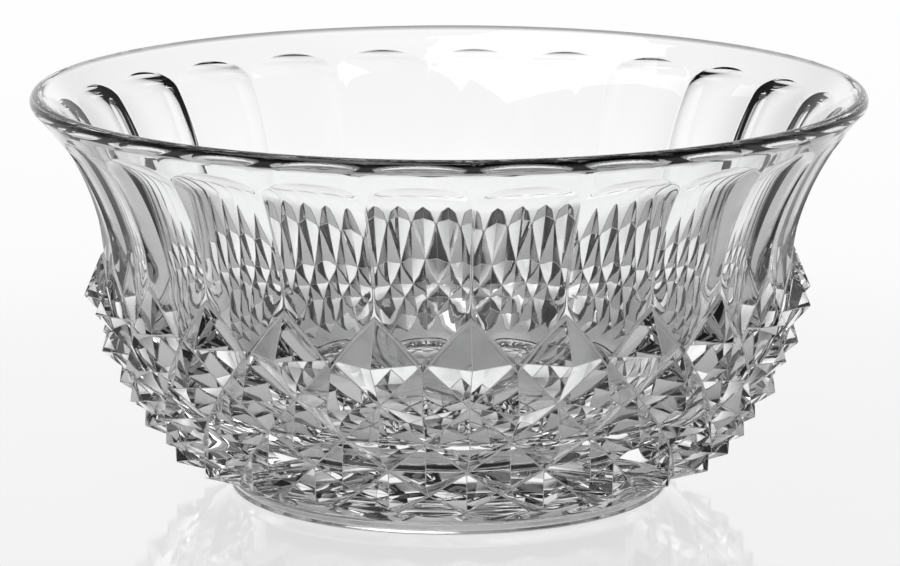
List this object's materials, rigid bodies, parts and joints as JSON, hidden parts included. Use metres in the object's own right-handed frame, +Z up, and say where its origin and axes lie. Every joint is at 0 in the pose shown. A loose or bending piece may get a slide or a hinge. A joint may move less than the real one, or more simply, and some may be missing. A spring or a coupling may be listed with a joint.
{
  "type": "dessert bowl",
  "caption": "Clear pressed-glass dessert bowl with a flared and fluted upper wall, staggered rows of pointed diamonds round its lower wall and a low round foot.",
  "frame": {"origin": "centre of the foot's underside, on the table", "axes": "+Z up along the bowl's axis; a rib of the fluted wall faces -Y"},
  "size_m": [0.13, 0.13, 0.0629],
  "materials": {
    "clear_glass": "gloss"
  },
  "bodies": {
    "root": {"bowl": "clear_glass"}
  },
  "joints": []
}
